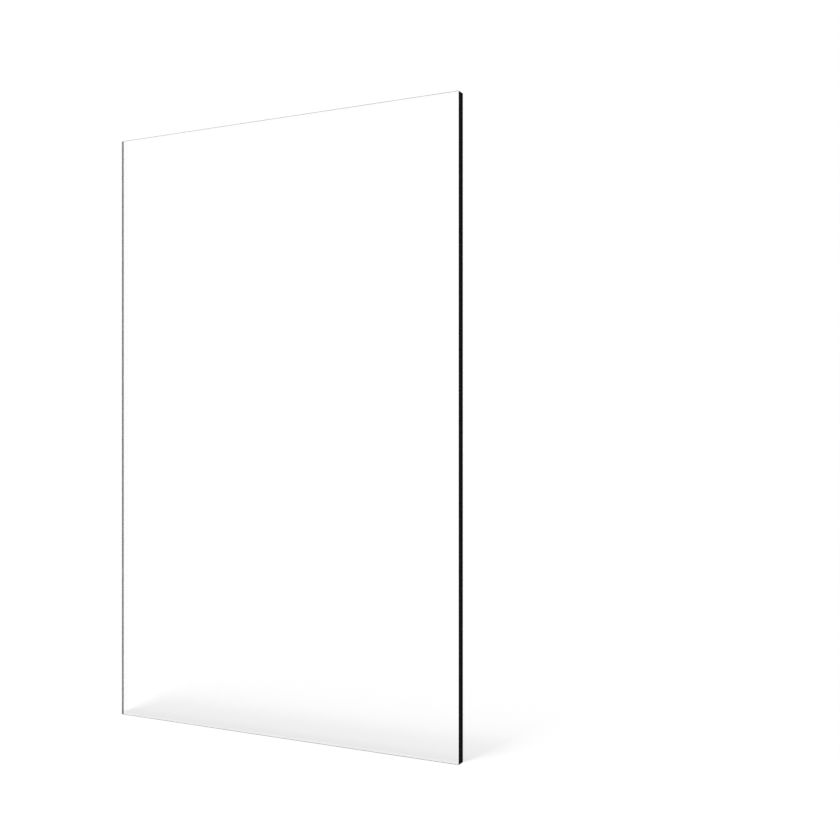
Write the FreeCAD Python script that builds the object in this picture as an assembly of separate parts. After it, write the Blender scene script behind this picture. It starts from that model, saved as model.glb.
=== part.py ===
"""Clear acrylic sheet, 11 by 17 inches and a quarter inch thick, lying flat.

One cut piece: two flat polished faces, four square edges, every sharp corner eased.
Millimetres. +X is the width, +Y the length and +Z the thickness, and the origin is the
middle of the underside. The sheet is symmetric about all three of its middle planes.
"""

import FreeCAD
import Part

import os

INCH = 25.4
UP = FreeCAD.Vector(0, 0, 1)

# Driving dimensions
WIDTH = 11 * INCH  # short side, along X
LENGTH = 17 * INCH  # long side, along Y
THICKNESS = 0.25 * INCH  # quarter inch stock, along Z
CORNER_RADIUS = 0.4  # each of the four upright corners, just dulled
ARRIS = 0.2  # each leg of the 45 degree flat scraped along both rims


def rounded_rectangle(width, length, radius):
    """Closed wire in the XY plane, centred on the origin, with an arc at each corner."""
    reach_x = width / 2 - radius
    reach_y = length / 2 - radius
    corners = ((1, 1), (-1, 1), (-1, -1), (1, -1))
    arcs = []
    for quarter, (side_x, side_y) in enumerate(corners):
        centre = FreeCAD.Vector(side_x * reach_x, side_y * reach_y, 0)
        start = 90 * quarter
        arcs.append(Part.makeCircle(radius, centre, UP, start, start + 90))
    edges = []
    for arc, following in zip(arcs, arcs[1:] + arcs[:1]):
        side = Part.makeLine(arc.lastVertex().Point, following.firstVertex().Point)
        edges += [arc, side]
    return Part.Wire(edges)


def rim_edges(plate):
    """Both rims: every edge whose two ends are level, which leaves out the uprights."""
    return [edge for edge in plate.Edges if edge.firstVertex().Z == edge.lastVertex().Z]


def make_sheet():
    """The cut plate: the outline pulled up to the thickness, then both rims scraped."""
    outline = Part.Face(rounded_rectangle(WIDTH, LENGTH, CORNER_RADIUS))
    plate = outline.extrude(THICKNESS * UP)
    return plate.makeChamfer(ARRIS, rim_edges(plate))


def main():
    os.makedirs("parts", exist_ok=True)
    sheet = make_sheet()
    sheet.exportStep("parts/acrylic_sheet.step")


main()
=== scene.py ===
"""A clear acrylic sheet lying on a white studio floor: its finish, the light and the camera."""

import math

import bpy
import numpy as np
from bpy.props import FloatProperty, FloatVectorProperty, PointerProperty
from mathutils import Matrix, Vector


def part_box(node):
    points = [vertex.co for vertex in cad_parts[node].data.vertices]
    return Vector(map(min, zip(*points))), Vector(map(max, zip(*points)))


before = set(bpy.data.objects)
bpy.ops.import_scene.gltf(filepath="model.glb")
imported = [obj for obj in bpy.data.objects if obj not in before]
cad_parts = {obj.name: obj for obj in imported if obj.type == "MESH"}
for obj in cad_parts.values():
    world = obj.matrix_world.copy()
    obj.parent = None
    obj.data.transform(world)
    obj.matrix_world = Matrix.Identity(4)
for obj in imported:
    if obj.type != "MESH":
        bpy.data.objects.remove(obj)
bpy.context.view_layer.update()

bl_info = {
    "name": "Clear Acrylic Sheet",
    "version": (1, 0, 0),
    "blender": (4, 5, 0),
    "location": "3D View > Sidebar > Acrylic",
    "description": "Finishes a clear acrylic sheet with dark eased edges and sets it on a white floor",
    "category": "Object",
}

# The sheet, in metres. The box gives its size, and the model's own corner radius and arris are repeated.
SHEET = "acrylic_sheet"
LOW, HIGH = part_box(SHEET)
HALF_WIDTH = (HIGH.x - LOW.x) / 2
HALF_LENGTH = (HIGH.y - LOW.y) / 2
THICKNESS = HIGH.z - LOW.z
CORNER_RADIUS = 0.0004
ARRIS = 0.0002
HAIR = 0.000001  # keeps the rims of the broad faces out of the mask of the cut edges
FRONT_REACH = 0.0015  # how far round the front corners a cut edge holds back the low light, and its arris seen through the sheet gets painted shadow

# Where the look of a cut edge changes. A level is a share of the thickness, 0 at the underside. A turn is
# 0 where the ray meets the edge squarely and 1 where it grazes it.
CORE_LEVELS = (0.2, 0.7)
SIDE_LEVELS = (0.335, 0.365)
SIDE_TURNS = (0.59, 0.76)
RIM_LEVELS = (0.70, 0.73)
RIM_TURNS = (0.73, 0.82)
HOLDING_TURNS = (0.47, 0.53)
FRONT_ARRIS_SHADOW_TONE = 0.87  # how much light passes the front arrises seen through the sheet, darkened as painted shadow

# Close by a cut edge the floor gets a little less light: the share that is held back, and the lengths of
# ray, in metres, over which that fades out.
CREVICE_SHARE = 0.1
CREVICE_RAYS = (0.0002, 0.0008)

# Grain of the surfaces: how many streaks, clouds or waves there are to a metre, how deep they are in
# metres, and how far they sway what they are multiplied with.
STREAKS_PER_METRE = (900, 900, 60)
HAZE_PER_METRE = 30.0
WAVES_PER_METRE = 14.0
RELIEF = 0.00001
NOISE_SWING = 0.6
SAWN_ROUGHNESS = 0.45
INNER_ROUGHNESS = 0.02

FLOOR_GAP = 0.00002  # metres between the floor and the underside
FLOOR_TONE = 0.85  # how much light it throws back, though the eye sees it white
FLOOR_RINGS = 12
FLOOR_SIDES = 96

# Pixels of the square picture: where the sheet's two long sides stand in it, counted from the left, how
# tall they are, and how far below the picture's middle the camera points.
FRAME_PIXELS = 840
FAR_COLUMN = 121.69
FAR_PIXELS = 572.8
NEAR_COLUMN = 458.92
NEAR_PIXELS = 674.8
SHIFT_PIXELS = 7.85

SENSOR_MM = 36.0
NEAREST_SEEN = 0.01  # metres from the camera


class Signal:
    """One socket of a node tree. Arithmetic between signals and numbers adds Math nodes."""

    def __init__(self, graph, socket):
        self.graph = graph
        self.socket = socket

    def maths(self, operation, *values):
        settings = {"operation": operation}
        return self.graph.add("ShaderNodeMath", settings, dict(enumerate(values)))[0]

    def __add__(self, other):
        return self.maths("ADD", self, other)

    def __radd__(self, other):
        return self.maths("ADD", other, self)

    def __sub__(self, other):
        return self.maths("SUBTRACT", self, other)

    def __rsub__(self, other):
        return self.maths("SUBTRACT", other, self)

    def __mul__(self, other):
        return self.maths("MULTIPLY", self, other)

    def __rmul__(self, other):
        return self.maths("MULTIPLY", other, self)

    def __truediv__(self, other):
        return self.maths("DIVIDE", self, other)

    def __gt__(self, other):
        return self.maths("GREATER_THAN", self, other)

    def __lt__(self, other):
        return self.maths("LESS_THAN", self, other)

    def __abs__(self):
        return self.maths("ABSOLUTE", self)

    def either(self, other):
        """The larger of two signals, which is "or" where both are 0 or 1."""
        return self.maths("MAXIMUM", self, other)

    def ramp(self, low, high):
        """0 below low, 1 above high, and an even slope between."""
        sockets = {"Value": self, "From Min": low, "From Max": high}
        return self.graph.add("ShaderNodeMapRange", {"clamp": True}, sockets)[0]


class Graph:
    """The node tree of one material or world."""

    def __init__(self, tree):
        self.tree = tree
        tree.nodes.clear()

    def add(self, kind, settings=None, sockets=None):
        """Adds a node, with its settings first and then the values or links of its sockets.

        Returns the node's outputs.
        """
        node = self.tree.nodes.new(kind)
        for name, value in (settings or {}).items():
            setattr(node, name, value)
        for key, value in (sockets or {}).items():
            if isinstance(value, Signal):
                self.tree.links.new(value.socket, node.inputs[key])
            else:
                node.inputs[key].default_value = value
        return Outputs(self, node)

    def vector(self, operation, *values):
        """Vector Math on signals and plain vectors. Returns the node's outputs."""
        settings = {"operation": operation}
        return self.add("ShaderNodeVectorMath", settings, dict(enumerate(values)))

    def colour(self, factor, first, second):
        """The first colour where the factor is 0 and the second where it is 1."""
        # On a Mix node that mixes colours these are sockets 6 and 7, and the result is output 2.
        sockets = {"Factor": factor, 6: first, 7: second}
        return self.add("ShaderNodeMix", {"data_type": "RGBA"}, sockets)[2]


class Outputs:
    """A node's outputs as signals, by number or by name."""

    def __init__(self, graph, node):
        self.graph = graph
        self.node = node

    def __getitem__(self, key):
        return Signal(self.graph, self.node.outputs[key])


class SheetFinishAndShade(bpy.types.PropertyGroup):
    """What the cut edges and the polished faces look like, with the painted shade of the cut edges."""

    # Painted shade: the dark look of a clear cut edge, near its rims.
    edge_shade_colour: FloatVectorProperty(
        name="Edge colour",
        description="Colour of a cut edge near its two rims",
        subtype="COLOR",
        size=3,
        min=0.0,
        max=1.0,
        default=(0.004, 0.004, 0.004),
    )
    # Painted shade, a little lighter along the middle of the thickness.
    core_shade_colour: FloatVectorProperty(
        name="Edge core colour",
        description="Colour of a cut edge along the middle of the thickness",
        subtype="COLOR",
        size=3,
        min=0.0,
        max=1.0,
        default=(0.014, 0.014, 0.014),
    )
    inner_shade: FloatProperty(
        name="Inner shade",
        description="How dark the upper two thirds of a cut edge look through the face, seen squarely",
        subtype="FACTOR",
        min=0.0,
        max=1.0,
        default=0.85,
    )
    rim_shade: FloatProperty(
        name="Rim shade",
        description="How dark the top of a cut edge looks through the face, seen at a grazing angle",
        subtype="FACTOR",
        min=0.0,
        max=1.0,
        default=0.9,
    )
    gloss_roughness: FloatProperty(
        name="Face roughness",
        description="Roughness of the polished faces",
        subtype="FACTOR",
        min=0.0,
        max=1.0,
        default=0.015,
    )
    refraction: FloatProperty(
        name="Refractive index",
        description="Refractive index of acrylic",
        min=1.0,
        max=2.0,
        default=1.49,
    )


class StudioSettings(bpy.types.PropertyGroup):
    """The floor, the light and the camera."""

    floor_radius: FloatProperty(
        name="Floor radius",
        description="How far the floor reaches from the sheet's middle",
        unit="LENGTH",
        min=1.0,
        default=5.0,
    )
    dome_share: FloatProperty(
        name="Dome light",
        description="Share of the floor's light that comes evenly from all round",
        subtype="FACTOR",
        min=0.0,
        max=1.0,
        default=0.806,
    )
    key_share: FloatProperty(
        name="Key light",
        description="Share of the floor's light that comes from the low soft box",
        subtype="FACTOR",
        min=0.0,
        max=1.0,
        default=0.146,
    )
    fill_share: FloatProperty(
        name="Fill light",
        description="Share of the floor's light that comes from the soft box above the low one",
        subtype="FACTOR",
        min=0.0,
        max=1.0,
        default=0.061,
    )
    box_turn: FloatProperty(
        name="Soft box direction",
        description="How far both soft boxes stand round from the front towards the left",
        subtype="ANGLE",
        default=math.radians(67.5),
    )
    box_spread: FloatProperty(
        name="Soft box width",
        description="Width of both soft boxes as the sheet sees them",
        subtype="ANGLE",
        default=math.radians(16),
    )
    key_foot: FloatProperty(
        name="Key foot",
        description="Height of the low soft box's lower side above the horizon",
        subtype="ANGLE",
        default=math.radians(1.0),
    )
    key_head: FloatProperty(
        name="Key head",
        description="Height above the horizon at which the low soft box ends and the other begins",
        subtype="ANGLE",
        default=math.radians(10.0),
    )
    fill_head: FloatProperty(
        name="Fill head",
        description="Height of the other soft box's upper side above the horizon",
        subtype="ANGLE",
        default=math.radians(39.0),
    )
    box_distance: FloatProperty(
        name="Soft box distance",
        description="How far away both soft boxes stand",
        unit="LENGTH",
        min=1.0,
        default=100.0,
    )


def grey(tone):
    """A grey with full alpha."""
    return (tone, tone, tone, 1)


def around_one(noise):
    """A noise between 0 and 1 made a factor that averages 1."""
    return 1 - NOISE_SWING / 2 + NOISE_SWING * noise


def new_material(name):
    """An empty material and the graph of its nodes."""
    material = bpy.data.materials.new(name)
    material.use_nodes = True
    return material, Graph(material.node_tree)


def cut_edge_mask(graph, place):
    """1 on the cut edges and their arrises, and 0 on the two broad faces.

    Seen from above the sheet is an inner rectangle with the corner radius added all round, so a point's
    distance from that rectangle tells the broad faces, which end an arris short of the radius.
    """
    flat = graph.vector("MULTIPLY", place, (1, 1, 0))[0]
    folded = graph.vector("ABSOLUTE", flat)[0]
    corner = (HALF_WIDTH - CORNER_RADIUS, HALF_LENGTH - CORNER_RADIUS, 0)
    past = graph.vector("SUBTRACT", folded, corner)[0]
    beyond = graph.vector("MAXIMUM", past, (0, 0, 0))[0]
    distance = graph.vector("LENGTH", beyond)["Value"]
    return distance > CORNER_RADIUS - ARRIS + HAIR


def polished_face(graph, place, finish):
    """Clear acrylic with a faint haze and very slight waves."""
    haze = graph.add(
        "ShaderNodeTexNoise", None, {"Vector": place, "Scale": HAZE_PER_METRE, "Detail": 2.0}
    )[0]
    waves = graph.add(
        "ShaderNodeTexNoise", None, {"Vector": place, "Scale": WAVES_PER_METRE, "Detail": 1.0}
    )[0]
    bump = graph.add(
        "ShaderNodeBump", None, {"Strength": 0.2, "Distance": RELIEF, "Height": waves}
    )[0]
    return graph.add(
        "ShaderNodeBsdfPrincipled",
        None,
        {
            "Base Color": grey(1),
            "Roughness": finish.gloss_roughness * around_one(haze),
            "IOR": finish.refraction,
            "Transmission Weight": 1.0,
            "Normal": bump,
        },
    )[0]


def sawn_edge_painted_shade(graph, place, level, finish):
    """A cut edge from outside in painted shade, darkest at its rims, with fine streaks through the
    thickness.
    """
    streaks = graph.add("ShaderNodeMapping", None, {"Vector": place, "Scale": STREAKS_PER_METRE})[0]
    grain = graph.add("ShaderNodeTexNoise", None, {"Vector": streaks, "Scale": 1.0, "Detail": 3.0})[0]
    bump = graph.add(
        "ShaderNodeBump", None, {"Strength": 0.3, "Distance": RELIEF, "Height": grain}
    )[0]
    # The core is 1 in the middle of the thickness and 0 at both rims.
    core = 4 * level * (1 - level)
    # Painted shade, a little lighter along the core and varied by the sawn grain.
    tone = core * core * level.ramp(*CORE_LEVELS) * around_one(grain)
    colour = graph.colour(tone, (*finish.edge_shade_colour, 1), (*finish.core_shade_colour, 1))
    return graph.add(
        "ShaderNodeBsdfPrincipled",
        None,
        {
            "Base Color": colour,
            "Roughness": SAWN_ROUGHNESS,
            "Specular IOR Level": 0.0,
            "Normal": bump,
        },
    )[0]


def mirror_edge_painted_shade(graph, level, turn, finish):
    """A cut edge through the sheet: a mirror, with painted shade over its upper part.

    The painted shade is broad where the edge is seen squarely, and only near the top where the view
    grazes it.
    """
    # Painted shade on the mirror, set by height and by how squarely the edge is seen.
    side = finish.inner_shade * (1 - turn.ramp(*SIDE_TURNS)) * level.ramp(*SIDE_LEVELS)
    rim = finish.rim_shade * turn.ramp(*RIM_TURNS) * level.ramp(*RIM_LEVELS)
    colour = graph.colour(side.either(rim), grey(1), grey(0))
    return graph.add(
        "ShaderNodeBsdfPrincipled",
        None,
        {"Base Color": colour, "Metallic": 1.0, "Roughness": INNER_ROUGHNESS},
    )[0]


def clear_acrylic(finish):
    """Clear polished faces. The cut edges carry painted shade: dark from outside, and through the sheet
    mirrors shaded over part of them.

    A ray that lights the floor passes the broad faces as if nothing were there. The cut edges hold it
    back where it grazes them from inside, and all along the front, and a little of it close by them.
    """
    material, graph = new_material("clear_acrylic")
    place = graph.add("ShaderNodeTexCoord")["Object"]
    split = graph.add("ShaderNodeSeparateXYZ", None, {0: place})
    level = split["Z"] / THICKNESS
    inside = graph.add("ShaderNodeNewGeometry")["Backfacing"]
    turn = graph.add("ShaderNodeLayerWeight", None, {"Blend": 0.5})["Facing"]
    edge = cut_edge_mask(graph, place)
    arris = abs(level - 0.5) > 0.5 - ARRIS / THICKNESS
    front = split["Y"] < FRONT_REACH - HALF_LENGTH

    clear = polished_face(graph, place, finish)
    # The cut edges from outside: sawn streaks under painted shade.
    dark = sawn_edge_painted_shade(graph, place, level, finish)
    # The cut edges seen through the sheet: mirrors with painted shade.
    painted_shade_mirror = mirror_edge_painted_shade(graph, level, turn, finish)
    passing = graph.add("ShaderNodeBsdfTransparent", None, {"Color": grey(1)})[0]
    # Painted shadow: the front arrises seen through the sheet are darkened like the floor's shadow beside
    # them.
    front_arris_painted_shadow = graph.add("ShaderNodeBsdfTransparent", None, {"Color": grey(FRONT_ARRIS_SHADOW_TONE)})[0]
    rim = graph.add("ShaderNodeMixShader", None, {0: front, 1: passing, 2: front_arris_painted_shadow})[0]
    from_inside = graph.add("ShaderNodeMixShader", None, {0: arris, 1: painted_shade_mirror, 2: rim})[0]
    cut = graph.add("ShaderNodeMixShader", None, {0: inside, 1: dark, 2: from_inside})[0]
    look = graph.add("ShaderNodeMixShader", None, {0: edge, 1: clear, 2: cut})[0]

    path = graph.add("ShaderNodeLightPath")
    shadow = path["Is Shadow Ray"]
    diffuse = path["Is Diffuse Ray"]
    shaded = shadow * inside * turn.ramp(*HOLDING_TURNS).either(front)
    near_floor = 1 - path["Ray Length"].ramp(*CREVICE_RAYS)
    crevice = diffuse * (1 - inside) * near_floor * CREVICE_SHARE
    held = edge * shaded.either(crevice)
    light = graph.add("ShaderNodeMixShader", None, {0: held, 1: passing, 2: dark})[0]
    surface = graph.add("ShaderNodeMixShader", None, {0: shadow.either(diffuse), 1: look, 2: light})[0]
    graph.add("ShaderNodeOutputMaterial", None, {"Surface": surface})
    return material


def seen_ray(graph):
    """1 for a ray of sight, also by way of gloss or a clear face, and 0 for a ray of light."""
    path = graph.add("ShaderNodeLightPath")
    return path["Is Camera Ray"].either(path["Is Glossy Ray"]).either(path["Is Transmission Ray"])


def white_floor():
    """Matt white paper."""
    material, graph = new_material("white_floor")
    paper = graph.add(
        "ShaderNodeBsdfPrincipled",
        None,
        {
            "Base Color": graph.colour(seen_ray(graph), grey(FLOOR_TONE), grey(1)),
            "Roughness": 1.0,
            "Specular IOR Level": 0.0,
        },
    )[0]
    graph.add("ShaderNodeOutputMaterial", None, {"Surface": paper})
    return material


def white_world(dome_share):
    """White to the eye and in reflections and refractions, and dimmer as a light."""
    world = bpy.data.worlds.new("white_room")
    world.use_nodes = True
    # The sky is even, so no part of it is sampled more than another.
    world.cycles.sampling_method = "NONE"
    graph = Graph(world.node_tree)
    strength = dome_share + (1 - dome_share) * seen_ray(graph)
    sky = graph.add("ShaderNodeBackground", None, {"Color": grey(1), "Strength": strength})[0]
    graph.add("ShaderNodeOutputWorld", None, {"Surface": sky})
    bpy.context.scene.world = world


def floor_surface(radius, height):
    """A flat disc: point(u, v) = (u cos v, u sin v, height).

    v goes round, and u goes from a small hub out to the radius in rings that widen as they go.
    """
    rings = np.linspace(0.0, 1.0, FLOOR_RINGS + 1)[1:] ** 2 * radius
    angles = np.linspace(0.0, 2 * math.pi, FLOOR_SIDES, endpoint=False)
    u, v = np.meshgrid(rings, angles, indexing="ij")
    ring_points = np.stack([u * np.cos(v), u * np.sin(v), np.full_like(u, height)], axis=-1)
    points = np.vstack([ring_points.reshape(-1, 3), [[0.0, 0.0, height]]])
    index = np.arange(u.size).reshape(u.shape)
    following = np.roll(index, -1, axis=1)
    bands = np.stack([index[:-1], index[1:], following[1:], following[:-1]], axis=-1).reshape(-1, 4)
    hub = np.full_like(index[0], u.size)
    fan = np.stack([index[0], following[0], hub], axis=-1)
    return points, bands.tolist() + fan.tolist()


def lay_floor(radius):
    """The floor, a hair under the sheet."""
    points, faces = floor_surface(radius, LOW.z - FLOOR_GAP)
    mesh = bpy.data.meshes.new("floor")
    mesh.from_pydata(points.tolist(), [], faces)
    mesh.materials.append(white_floor())
    floor = bpy.data.objects.new("floor", mesh)
    bpy.context.scene.collection.objects.link(floor)


def soft_box(name, studio, share, foot_angle, head_angle):
    """An upright soft box at the front left, between two heights above the horizon.

    A white sky of strength 1 lights the floor with pi. The box's radiance is such that it adds its share
    of that: pi times the share, over the box's width in radians times half the difference between the
    squared sines of its two heights.
    """
    lamp = bpy.data.lights.new(name, "AREA")
    foot = math.tan(foot_angle) * studio.box_distance
    head = math.tan(head_angle) * studio.box_distance
    lamp.shape = "RECTANGLE"
    lamp.size = 2 * math.tan(studio.box_spread / 2) * studio.box_distance
    lamp.size_y = head - foot
    rise = (math.sin(head_angle) ** 2 - math.sin(foot_angle) ** 2) / 2
    radiance = math.pi * share / (studio.box_spread * rise)
    lamp.energy = radiance * math.pi * lamp.size * lamp.size_y
    holder = bpy.data.objects.new(name, lamp)
    bpy.context.scene.collection.objects.link(holder)
    middle = Vector((0, 0, (head + foot) / 2))
    outward = Vector((-math.sin(studio.box_turn), -math.cos(studio.box_turn), 0))
    holder.location = middle + outward * studio.box_distance
    holder.rotation_euler = (-outward).to_track_quat("-Z", "Y").to_euler()
    # It lights the room and isn't seen in it.
    holder.visible_camera = False
    holder.visible_glossy = False
    holder.visible_transmission = False


def look_down():
    """The camera over the right long side, solved from where the sheet's two long sides are to be seen.

    The far side stands FAR_COLUMN pixels from the left and FAR_PIXELS tall, the near side likewise. The
    sheet's own width then gives the focal length.
    """
    length = 2 * HALF_LENGTH
    far_side = (FAR_COLUMN - FRAME_PIXELS / 2) / FAR_PIXELS * length
    near_side = (NEAR_COLUMN - FRAME_PIXELS / 2) / NEAR_PIXELS * length
    across = near_side - far_side
    inward = math.sqrt((2 * HALF_WIDTH) ** 2 - across**2)
    focal = inward / (length / FAR_PIXELS - length / NEAR_PIXELS)
    right = Vector((across, 0, -inward)) / (2 * HALF_WIDTH)
    up = Vector((0, 1, 0))
    back = right.cross(up)
    near_edge = Vector((HIGH.x, 0, HIGH.z))
    eye = near_edge - right * near_side + back * (focal * length / NEAR_PIXELS)
    camera = bpy.data.cameras.new("camera")
    camera.sensor_width = SENSOR_MM
    camera.lens = focal / FRAME_PIXELS * SENSOR_MM
    camera.shift_y = SHIFT_PIXELS / FRAME_PIXELS
    camera.clip_start = NEAREST_SEEN
    holder = bpy.data.objects.new("camera", camera)
    bpy.context.scene.collection.objects.link(holder)
    turned = Matrix((right, up, back)).transposed().to_4x4()
    holder.matrix_world = Matrix.Translation(eye) @ turned
    bpy.context.scene.camera = holder


class ACRYLIC_OT_finish_sheet(bpy.types.Operator):
    """Give the cut sheet its clear faces and dark edges"""

    bl_idname = "acrylic.finish_sheet"
    bl_label = "Finish Sheet"

    def execute(self, context):
        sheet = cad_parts[SHEET]
        material = clear_acrylic(context.scene.sheet_finish)
        if not sheet.material_slots:
            sheet.data.materials.append(material)
        for slot in sheet.material_slots:
            slot.material = material
        return {"FINISHED"}


class ACRYLIC_OT_set_stage(bpy.types.Operator):
    """Lay the white floor and set the light and the camera"""

    bl_idname = "acrylic.set_stage"
    bl_label = "Set Stage"

    def execute(self, context):
        studio = context.scene.studio_settings
        context.scene.view_settings.view_transform = "Standard"
        lay_floor(studio.floor_radius)
        white_world(studio.dome_share)
        soft_box("key", studio, studio.key_share, studio.key_foot, studio.key_head)
        soft_box("fill", studio, studio.fill_share, studio.key_head, studio.fill_head)
        look_down()
        return {"FINISHED"}


class ACRYLIC_PT_tools(bpy.types.Panel):
    """Lists the steps that make the picture"""

    bl_idname = "ACRYLIC_PT_tools"
    bl_label = "Clear Acrylic Sheet"
    bl_space_type = "VIEW_3D"
    bl_region_type = "UI"
    bl_category = "Acrylic"

    def draw(self, context):
        layout = self.layout
        for made in STEPS:
            layout.operator(made.bl_idname)


STEPS = (ACRYLIC_OT_finish_sheet, ACRYLIC_OT_set_stage)
CLASSES = (SheetFinishAndShade, StudioSettings, *STEPS, ACRYLIC_PT_tools)


def register():
    for made in CLASSES:
        bpy.utils.register_class(made)
    bpy.types.Scene.sheet_finish = PointerProperty(type=SheetFinishAndShade)
    bpy.types.Scene.studio_settings = PointerProperty(type=StudioSettings)


def unregister():
    del bpy.types.Scene.studio_settings
    del bpy.types.Scene.sheet_finish
    for made in reversed(CLASSES):
        bpy.utils.unregister_class(made)


def main():
    register()
    bpy.ops.acrylic.finish_sheet()
    bpy.ops.acrylic.set_stage()


if __name__ == "__main__":
    main()
